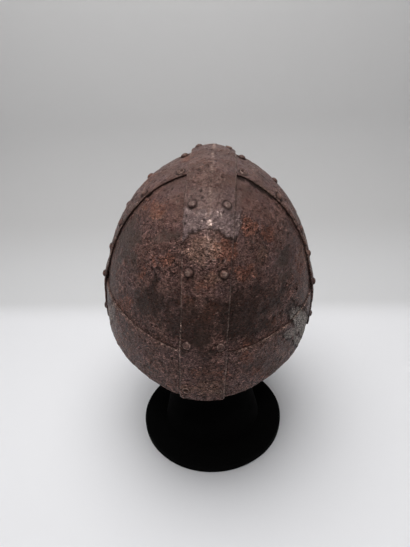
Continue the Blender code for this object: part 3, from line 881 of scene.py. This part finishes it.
def plate_points(side, end, spacing):
    """A grid of shell points over one plate, evenly spaced up its slope."""
    medial_edge = MEDIAL_RIM_WIDTH / 2 - RIVET_INSET - PLATE_MARGIN
    lateral_edge = LATERAL_BAND_WIDTH / 2 - RIVET_INSET - PLATE_MARGIN + end * band_shift(side)
    corner = medial_edge + PLATE_CORNER_CUT
    top_height = solve(lambda z: oval_x(z, lateral_edge) > corner, PLATE_BOTTOM, SHELL_HEIGHT)
    rows, columns = stops(PLATE_RUN, spacing), stops(PLATE_SPAN, spacing)
    fine = np.linspace(PLATE_BOTTOM, top_height, 800)
    inward = np.hypot(np.diff(half_width(fine)), np.diff(half_length(fine))) / TWO_AXES
    run = np.concatenate([[0.0], np.cumsum(np.hypot(np.diff(fine), inward))])
    heights = np.interp(np.linspace(0.0, run[-1], rows), run, fine)
    points = np.zeros((rows, columns, 3))
    for i, height in enumerate(heights):
        last_y = solve(lambda y: oval_x(height, y) > medial_edge, 0.0, SHELL_HALF_LENGTH)
        first, last = np.arcsin(np.array([lateral_edge, last_y]) / half_length(height))
        points[i] = oval_ring(np.full(columns, height), np.linspace(first, last, columns))
    return points.reshape(-1, 3) * [side, end, 1.0], (rows, columns)


def plate(node, side, end, finish):
    """One infill plate, whose edges lie under the bands."""
    points, shape = plate_points(side, end, STEP_NEAR_PLATE if end < 0 else STEP_FAR_PLATE)
    out = normals(points)
    brow_gap = points[:, 2] - BROW_BAND_HEIGHT
    gap = np.minimum.reduce([medial_gap(points), lateral_gap(points), brow_gap])
    hidden = step(0.0, -2 * MM, gap)
    relief, looks = surface(points, out, hidden)
    common = swell(points) * MM
    ragged = rough_noise(points / MM, *EDGE_BITES)
    # Rust fills the step down to the brow band
    relief = relief + BROW_FILL * step(4.5 * MM, 0.5 * MM, brow_gap) * (1.0 - hidden)
    # Painted shade on the plates beside the lateral bands' edges, above the brow band and beside the medial
    # band
    slit_shade = beside(lateral_gap(points), 0.9) * (1.0 + 0.5 * ragged)
    if side > 0:
        # Beside the torn edge a wide ragged strip of painted shade stands for a gap that is open there
        slit_shade = np.maximum(slit_shade, 0.95 * beside(lateral_gap(points), 6.5) * step(0.0, 0.2, ragged))
    beside_brow = 0.90 * beside(brow_gap, 1.3) * step(-0.7, 0.1, ragged)
    crevices = np.maximum.reduce([slit_shade, 0.45 * beside(medial_gap(points), 1.0), beside_brow])
    looks["pit_and_painted_shade"] = clip01(np.maximum(looks["pit_and_painted_shade"], crevices))
    looks["edge"] = np.zeros(len(points))
    top = common + relief * MM - TUCK_DEPTH * MM * hidden
    sheet(node, points, out, top, common - PLATE_THICKNESS, shape, looks, finish)


# The rivets

def head_height(form, reach):
    """Height of a rivet's head as a share of a dome's, at a share of its radius."""
    rim = np.exp(-(((reach - 0.74) / 0.17) ** 2)) * (1.0 - reach**8)
    if form == "flat":
        return 0.62 * (1.0 - reach**3) ** 0.7 + 0.12 * rim
    if form == "ring":
        return 0.60 * rim + 0.12 * (1.0 - reach**2)
    if form == "button":
        return 0.50 * rim + 0.75 * np.exp(-((reach / 0.36) ** 2))
    return (1.0 - reach**2.3) ** 0.62


def rivet_wear(node, form, reach, rise, is_head, worn):
    """How dark and how light a rivet is painted, at shares of its radius out from and up over its seat: dark
    in its dents, hollows and groove, painted shade at its foot and on the lower side of domes, and lighter on
    its top and crest, partly rubbed bright and partly a painted highlight.
    """
    foot = step(0.86, 0.98, reach)
    hollow = step(0.50, 0.30, reach) * (form == "ring")
    groove = step(0.36, 0.46, reach) * step(0.66, 0.56, reach) * (form == "button")
    # Painted shade on the lower side of domes
    shade_below = step(0.45, 0.85, reach) * step(0.10, -0.55, rise) * (form == "dome")
    hollows = np.maximum.reduce([0.85 * foot, 0.85 * hollow, 0.75 * groove, 0.8 * shade_below]) * is_head
    pit_and_painted_shade = clip01(hollows + 0.2 * step(0.2, 0.7, worn))
    crest = step(0.60, 0.72, reach) * step(0.90, 0.80, reach) * (form != "dome")
    top = 0.60 if form in ("dome", "button") else 0.15
    # The proud rivets' tops are lighter still, a painted highlight
    top = 0.95 if node in PROUD_RIVETS else top
    return pit_and_painted_shade, np.maximum(step(0.80, 0.30, reach) * top, crest) * is_head


def rivet(node, finish, seed):
    """One worn rivet: its head outside, its shank, and its end just proud of the inner face."""
    seat, out, height = RIVET_SEATS[node]
    form = RIVET_FORMS.get(node, "dome")
    tallness = HEAD_HEIGHT * (PROUD_SCALE if node in PROUD_RIVETS else 1.0)
    side = unit(np.cross(out, [0.3, 0.9, 0.2]))
    up = np.cross(out, side)
    below_plates = seat[2] < PLATE_BOTTOM
    depth = (height - LAYER_GAP if below_plates else height + PLATE_THICKNESS) + RIVET_END_PROUD
    reach = np.sin(np.linspace(0.0, pi / 2, HEAD_RINGS + 1))[1:]
    angles = np.linspace(0.0, 2 * pi, HEAD_SIDES, endpoint=False)
    size = 1.0 + 0.06 * float(smooth_noise(np.array([[seed * 1.7, 0.4, 0.6]]), 5)[0])

    # Rings outwards over the head, then in under it, down the shank and over its end
    shank = RIVET_SHANK_RADIUS / MM
    radii = [*(reach * HEAD_RADIUS * size), HEAD_RADIUS * 0.98, shank, shank, shank * 0.8]
    heights = [*(head_height(form, reach) * tallness), -HEAD_SINK, -HEAD_SINK]
    heights += [-depth / MM + 0.15, -depth / MM]
    ring = np.cos(angles)[:, None] * side + np.sin(angles)[:, None] * up
    rings = [seat + (ring * radius + out * rise) * MM for radius, rise in zip(radii, heights)]
    tip = seat + out * (head_height(form, np.zeros(1))[0] * tallness * MM)
    cloud = np.concatenate([tip[None], *rings, (seat - out * depth)[None]])
    cloud = cloud + out * (swell(seat[None]) * MM)
    worn = rough_noise(cloud / MM + seed * 7.3, *HEAD_DENTS)
    is_head = np.arange(len(cloud)) <= HEAD_RINGS * HEAD_SIDES
    from_core = unit(cloud - (seat - out * 1.5 * MM))
    cloud = cloud + from_core * (HEAD_WEAR * worn * MM * is_head)[:, None]

    _, looks = surface(cloud, np.tile(out, (len(cloud), 1)), np.zeros(len(cloud)))
    radius_share = np.concatenate([[0.0], np.repeat(np.array(radii) / HEAD_RADIUS, HEAD_SIDES), [0.0]])
    rise = (cloud - seat)[:, 2] / (MM * HEAD_RADIUS)
    looks["pit_and_painted_shade"], looks["edge"] = rivet_wear(node, form, radius_share, rise, is_head, worn)
    looks["high"] = clip01(0.6 + 0.3 * worn)
    looks["grain_and_sparkle"] = 0.4 * looks["grain_and_sparkle"]
    looks["dark"] = 0.5 * looks["dark"]
    faces = closed_faces(HEAD_SIDES, len(radii), flip=True)
    dressed(node, "iron", to_world(cloud), faces, looks, finish, RIVET_SHARP)


# The stand

def turned(node, outline, roughness, seed, finish):
    """A closed velvet covered solid of revolution from (radius, height) pairs."""
    angles = np.linspace(0.0, 2 * pi, STAND_STEPS, endpoint=False)
    rings = [
        np.stack([radius * np.cos(angles), radius * np.sin(angles), np.full_like(angles, height)], 1)
        for radius, height in outline[1:-1]
    ]
    body = np.concatenate(rings)
    out = unit(body * [1.0, 1.0, 0.0])
    body = body - out * (roughness * clip01(0.5 + rough_noise(body / MM, 30.0, 2, seed)))[:, None]
    points = np.concatenate([[[0, 0, outline[0][1]]], body, [[0, 0, outline[-1][1]]]])
    stand_piece(node, points, len(rings), finish)


def stand_piece(node, points, count, finish):
    """A stand's piece over a first point, count rings and a last point."""
    faces = closed_faces(STAND_STEPS, count)
    dressed(node, "velvet", points, faces, {}, finish, STAND_SHARP)


def arc(centre_radius, centre_height, size, start, end, steps=7):
    """Points of a rounded edge, as (radius, height) pairs."""
    angles = np.linspace(radians(start), radians(end), steps)
    return [(centre_radius + size * cos(a), centre_height + size * sin(a)) for a in angles]


def stand_base(finish):
    radius, top, edge = BASE_RADIUS, BASE_THICKNESS, BASE_EDGE_ROUND
    lower = edge / 2
    outline = [(0.0, 0.0), (radius / 2, 0.0)] + arc(radius - lower, lower, lower, -90, 0)
    outline += arc(radius - edge, top - edge, edge, 0, 90) + [(radius * 0.8, top), (0.0, top)]
    turned("stand_base", outline, 0.3 * MM, 141, finish)


def stand_column(finish, top):
    """The waisted column, whose side is a smooth curve through the solid's own radii."""
    bottom = BASE_THICKNESS + STAND_SEAM
    shares = (0.00, 0.05, 0.12, 0.24, 0.42, 0.88, 0.95, 1.00)
    foot, head = COLUMN_FOOT_RADIUS - COLUMN_WAIST_RADIUS, COLUMN_TOP_RADIUS - COLUMN_WAIST_RADIUS
    widths = np.array([foot, 0.72 * foot, 0.40 * foot, 0.12 * foot, 0.0, 0.40 * head, 0.72 * head, head])
    ways = np.linspace(0.0, 1.0, COLUMN_RINGS) ** COLUMN_CROWDING
    radii = COLUMN_WAIST_RADIUS + np.interp(ways, shares, widths)
    side = [(float(r), bottom + (top - bottom) * float(w)) for r, w in zip(radii, ways)]
    outline = [(0.0, bottom)] + side + [(0.0, top)]
    turned("stand_column", outline, 0.25 * MM, 143, finish)


def stand_pad(finish, centre):
    """The domed pad, which follows the inner face of the plates from below."""
    inward = PLATE_THICKNESS + PAD_CLEARANCE + PAD_SLACK
    back = HELMET.inverted()
    turn = np.array(back)[:3, :3]
    start = np.array(back @ centre)
    azimuths = np.linspace(0.0, 2 * pi, STAND_STEPS, endpoint=False)
    rings = []
    for rise in np.linspace(0.0, pi / 2, PAD_RINGS + 1)[:-1]:
        level, up = cos(rise), np.full_like(azimuths, sin(rise))
        ways = np.stack([level * np.cos(azimuths), level * np.sin(azimuths), up], 1)
        hits = cast(np.tile(start, (len(ways), 1)), ways @ turn.T)
        inner = np.linalg.norm(hits - normals(hits) * inward - start, axis=1)
        soft = inner * (1.0 + (inner / PAD_RADIUS) ** PAD_EDGE_POWER) ** (-1.0 / PAD_EDGE_POWER)
        rings.append(np.array(centre) + ways * soft[:, None])
    top = cast(start[None], (turn @ np.array([0.0, 0.0, 1.0]))[None])[0]
    rise = float(np.linalg.norm(top - start)) - inward
    points = np.concatenate([[np.array(centre)], *rings, [np.array(centre) + [0.0, 0.0, rise]]])
    stand_piece("stand_pad", points, len(rings), finish)


# Materials

class Nodes:
    """The nodes of a new material, made and joined by short calls."""

    def __init__(self, name):
        self.material = bpy.data.materials.new(name)
        self.material.use_nodes = True
        self.nodes = self.material.node_tree.nodes
        self.links = self.material.node_tree.links
        self.shader = self.nodes["Principled BSDF"]
        self.place = self.nodes.new("ShaderNodeTexCoord").outputs["Object"]

    def feed(self, socket, value):
        """Link an output to a socket, or set the socket to a number, a vector or a colour."""
        if isinstance(value, bpy.types.NodeSocket):
            self.links.new(value, socket)
        elif socket.type == "RGBA":
            socket.default_value = (*value, 1.0)
        else:
            socket.default_value = value

    def add(self, kind, inputs, **settings):
        node = self.nodes.new("ShaderNode" + kind)
        for key, value in settings.items():
            setattr(node, key, value)
        for key, value in inputs.items():
            self.feed(node.inputs[key], value)
        return node

    def attribute(self, key):
        return self.add("Attribute", {}, attribute_name=key).outputs["Fac"]

    def noise(self, place, scale, detail, roughness=0.5, distortion=0.0):
        inputs = {"Vector": place, "Scale": scale, "Detail": detail}
        inputs.update({"Roughness": roughness, "Distortion": distortion})
        return self.add("TexNoise", inputs).outputs["Fac"]

    def math(self, operation, a, b=None, clamp=False):
        inputs = {0: a} if b is None else {0: a, 1: b}
        return self.add("Math", inputs, operation=operation, use_clamp=clamp).outputs[0]

    def plus(self, a, b, clamp=False):
        return self.math("ADD", a, b, clamp)

    def minus(self, a, b):
        return self.math("SUBTRACT", a, b)

    def times(self, a, b):
        return self.math("MULTIPLY", a, b)

    def spread(self, value, low, high, to_low=0.0, to_high=1.0, **settings):
        inputs = {"Value": value, "From Min": low, "From Max": high, "To Min": to_low, "To Max": to_high}
        return self.add("MapRange", inputs, **settings).outputs[0]

    def mix(self, share, a, b):
        return self.add("Mix", {0: share, 6: a, 7: b}, data_type="RGBA").outputs[2]

    def bump(self, height, strength, distance):
        bump = self.add("Bump", {"Height": height, "Strength": strength, "Distance": distance})
        self.feed(self.shader.inputs["Normal"], bump.outputs["Normal"])


# Linear colours of the iron
DEEP_BROWN = (0.072, 0.034, 0.029)
BROWN = (0.150, 0.079, 0.065)
PURPLE_BROWN = (0.112, 0.066, 0.066)
TAN = (0.200, 0.112, 0.092)
EDGE_RUB_AND_HIGHLIGHT = (0.33, 0.225, 0.185)
PIT_AND_SHADE_DARK = (0.006, 0.003, 0.003)
# What lies over the brown: attribute, most cover, colour, and whether noise breaks it up
COATS = (
    ("rust", 0.62, (0.178, 0.066, 0.041), True),
    ("grey", 0.70, (0.060, 0.044, 0.037), True),
    ("dark", 0.84, (0.016, 0.006, 0.004), True),
    ("light", 0.50, (0.250, 0.145, 0.105), True),
    ("skin", 0.80, (0.178, 0.128, 0.124), False),
    ("pale", 0.88, (0.290, 0.262, 0.235), False),
)
# Wrinkles and grains lie on their sides round the helmet
LYING_SQUEEZE = (1.0, 1.0, 1.8)
BLOTCH_BREAKUP = 1.5
BLOTCH_SOFTNESS = 0.22
RIPPLE_FLOOR = 0.15
BUMP_DISTANCE = 0.0011


def iron(name, tone_scale):
    """Corroded, waxed iron, read from the mesh attributes and broken up by fine noise."""
    tree = Nodes(name)
    attribute, spread, mix = tree.attribute, tree.spread, tree.mix
    plus, minus, times = tree.plus, tree.minus, tree.times
    lying = tree.add("VectorMath", {0: tree.place, 1: LYING_SQUEEZE}, operation="MULTIPLY").outputs[0]
    broad = tree.noise(tree.place, 55.0, 2.0)
    medium = tree.noise(tree.place, 210.0, 2.0, 0.6)
    fine = tree.noise(lying, 400.0, 1.0, 0.5, 0.8)
    sand = tree.noise(lying, 760.0, 1.5, 0.7, 0.6)
    wrinkle = tree.math("ABSOLUTE", minus(tree.noise(lying, 230.0, 2.5, 0.55, 1.8), 0.5))
    blend = plus(times(medium, 0.5), times(fine, 0.5))

    def patchy(key):
        """A blotch whose outline and inside are broken up by the noise."""
        shifted = plus(attribute(key), times(minus(blend, 0.5), BLOTCH_BREAKUP))
        return spread(shifted, 0.5 - BLOTCH_SOFTNESS, 0.5 + BLOTCH_SOFTNESS)

    def ripple(value, strength):
        """A factor about 1 that swings with a noise, by how grainy the iron is there: partly real grain and
        partly painted sparkle.
        """
        swing = times(minus(value, 0.5), times(attribute("grain_and_sparkle"), strength))
        return tree.math("MAXIMUM", plus(swing, 1.0), RIPPLE_FLOOR)

    colour = mix(spread(medium, 0.36, 0.64), DEEP_BROWN, BROWN)
    colour = mix(spread(broad, 0.45, 0.65, 0.0, 0.6), colour, PURPLE_BROWN)
    colour = mix(spread(fine, 0.50, 0.72, 0.0, 0.6), colour, TAN)
    for key, cover, coat, broken in COATS:
        colour = mix(times(patchy(key) if broken else attribute(key), cover), colour, coat)
    # Lighter along edges, keel and rivet tops: partly rubbed bright, partly a painted highlight
    colour = mix(times(attribute("edge"), spread(fine, 0.40, 0.60, 0.30, 0.85)), colour, EDGE_RUB_AND_HIGHLIGHT)
    # The darkest colour, for pits and for painted shade and shadows
    colour = mix(times(attribute("pit_and_painted_shade"), 0.92), colour, PIT_AND_SHADE_DARK)
    tone = spread(attribute("high"), 0.1, 0.9, 0.70, 1.22)
    # The tone's speckle is partly grain and partly painted sparkle
    tone = times(tone, ripple(sand, 5.4))
    tone = times(tone, ripple(fine, 2.0))
    tone = times(tone, spread(wrinkle, 0.0, 0.05, 0.55, 1.08))
    scaled = tree.add("VectorMath", {0: colour}, operation="SCALE")
    tree.feed(scaled.inputs["Scale"], times(tone, tone_scale))
    tree.feed(tree.shader.inputs["Base Color"], scaled.outputs[0])

    gloss = spread(medium, 0.35, 0.65, 0.24, 0.40)
    gloss = minus(gloss, times(attribute("skin"), 0.20))
    gloss = plus(gloss, times(attribute("pit_and_painted_shade"), 0.3))
    gloss = plus(gloss, times(attribute("pale"), 0.2), clamp=True)
    tree.feed(tree.shader.inputs["Roughness"], gloss)
    tree.shader.inputs["Metallic"].default_value = 0.0
    tree.shader.inputs["Specular IOR Level"].default_value = 0.17
    tree.shader.inputs["Specular Tint"].default_value = (1.0, 0.74, 0.64, 1.0)

    relief = plus(times(fine, 0.6), times(sand, 0.25))
    relief = plus(relief, times(medium, 0.6))
    relief = plus(relief, spread(wrinkle, 0.0, 0.07, 0.0, 0.35))
    relief = times(relief, plus(times(attribute("grain_and_sparkle"), 0.75), 0.25))
    relief = times(relief, minus(1.0, times(attribute("skin"), 0.5)))
    tree.bump(relief, 1.0, BUMP_DISTANCE)
    return tree.material


def velvet():
    """Deep black velvet with the faintest sheen."""
    tree = Nodes("black_velvet")
    pile = tree.noise(tree.place, 1500.0, 3.0)
    tree.feed(tree.shader.inputs["Base Color"], tree.spread(pile, 0.0, 1.0, 0.0006, 0.0030))
    tree.shader.inputs["Roughness"].default_value = 1.0
    tree.shader.inputs["Specular IOR Level"].default_value = 0.02
    tree.shader.inputs["Sheen Weight"].default_value = 0.02
    tree.shader.inputs["Sheen Roughness"].default_value = 0.35
    tree.bump(pile, 0.5, 0.0004)
    return tree.material


# The studio

TABLE_FRONT = -0.60
TABLE_BACK = 0.17
STAGE_HALF_WIDTH = 2.2
SWEEP_RADIUS = 0.30
SWEEP_END = radians(85)
BACKDROP_HEIGHT = 1.4
BACKDROP_LEAN = 0.12
TABLE_WHITE = (0.83, 0.83, 0.845)
# Heights between which the card turns from one tone to the next on its way up, greyer as painted shade where
# the wall gets less light
CARD_TONES = (
    (0.000, 0.010, (0.66, 0.66, 0.662)),
    (0.010, 0.110, (0.56, 0.555, 0.55)),
)
SKY_COLOUR = (0.95, 0.95, 1.0, 1.0)
SKY_STRENGTH = 0.13
# name, place, target, size, power, and whether it adds only gleams
LAMPS = (
    ("ceiling", (-0.06, -0.14, 1.22), (0.0, 0.0, 0.0), 1.05, 13.8, False),
    ("gleam", (0.09, -0.74, 1.10), (0.0, 0.0, 0.25), 0.16, 26.0, True),
)


def stage():
    """A white table that sweeps up into a backdrop whose grey is painted shade."""
    turns = np.linspace(0.0, SWEEP_END, 30)[1:]
    line = [(TABLE_FRONT, 0.0), (TABLE_BACK, 0.0)]
    line += [(TABLE_BACK + SWEEP_RADIUS * sin(t), SWEEP_RADIUS * (1 - cos(t))) for t in turns]
    line.append((line[-1][0] + BACKDROP_LEAN, line[-1][1] + BACKDROP_HEIGHT))
    points = [(side * STAGE_HALF_WIDTH, y, z) for side in (-1, 1) for y, z in line]
    count = len(line)
    faces = [(i, count + i, count + i + 1, i + 1) for i in range(count - 1)]
    smooth_piece("table", points, faces, card())


def card():
    """White card whose grey up the backdrop is painted shade."""
    tree = Nodes("card")
    height = tree.add("SeparateXYZ", {0: tree.place}).outputs["Z"]
    colour = TABLE_WHITE
    for low, high, further in CARD_TONES:
        share = tree.spread(height, low, high, interpolation_type="SMOOTHSTEP")
        colour = tree.mix(share, colour, further)
    tree.feed(tree.shader.inputs["Base Color"], colour)
    tree.shader.inputs["Roughness"].default_value = 0.85
    tree.shader.inputs["Specular IOR Level"].default_value = 0.2
    return tree.material


def area_light(name, place, target, size, power, gleams_only):
    """A soft round lamp, or one that adds only gleams and no light of its own."""
    data = bpy.data.lights.new(name, "AREA")
    data.shape = "DISK"
    data.size = size
    data.energy = power
    lamp = bpy.data.objects.new(name, data)
    lamp.location = place
    lamp.rotation_euler = (Vector(target) - Vector(place)).to_track_quat("-Z", "Y").to_euler()
    lamp.visible_diffuse = not gleams_only
    bpy.context.scene.collection.objects.link(lamp)


def camera():
    """A camera at the photograph's place, with its field of view."""
    data = bpy.data.cameras.new("photo_camera")
    data.sensor_width = SENSOR
    data.lens = SENSOR * FOCAL_PIXELS / PHOTO_HEIGHT
    data.clip_start = 0.01
    eye = bpy.data.objects.new("photo_camera", data)
    right, up, forward = camera_axes()
    turn = Matrix((right, up, -forward)).transposed().to_4x4()
    eye.matrix_world = Matrix.Translation(CAMERA_PLACE) @ turn
    bpy.context.scene.collection.objects.link(eye)
    bpy.context.scene.camera = eye


def world():
    """Faint light from all round, and colours shown as they are."""
    sky = bpy.context.scene.world or bpy.data.worlds.new("studio")
    bpy.context.scene.world = sky
    sky.use_nodes = True
    back = sky.node_tree.nodes["Background"]
    back.inputs["Color"].default_value = SKY_COLOUR
    back.inputs["Strength"].default_value = SKY_STRENGTH
    bpy.context.scene.view_settings.view_transform = "Standard"


camera()
world()
stage()
for lamp_values in LAMPS:
    area_light(*lamp_values)

SIDES = (("left", -1), ("right", 1))
ENDS = (("near", -1), ("far", 1))
plate_iron = iron("plate_iron", 1.0)
band_iron = iron("band_iron", 1.05)
rivet_iron = iron("rivet_iron", 0.90)
black = velvet()
for end_name, end in ENDS:
    for side_name, side in SIDES:
        plate(f"plate_{end_name}_{side_name}", side, end, plate_iron)
brow_band(band_iron)
for side_name, side in SIDES:
    lateral_band(f"lateral_band_{side_name}", side, band_iron)
medial_band(band_iron)
for seed, node in enumerate(RIVET_SEATS):
    rivet(node, rivet_iron, seed)
crown = HELMET @ Vector((0.0, 0.0, SHELL_HEIGHT))
pad_centre = Vector((0.0, 0.0, crown.z - PAD_BOTTOM_DEPTH))
stand_base(black)
stand_column(black, pad_centre.z - STAND_SEAM)
stand_pad(black, pad_centre)
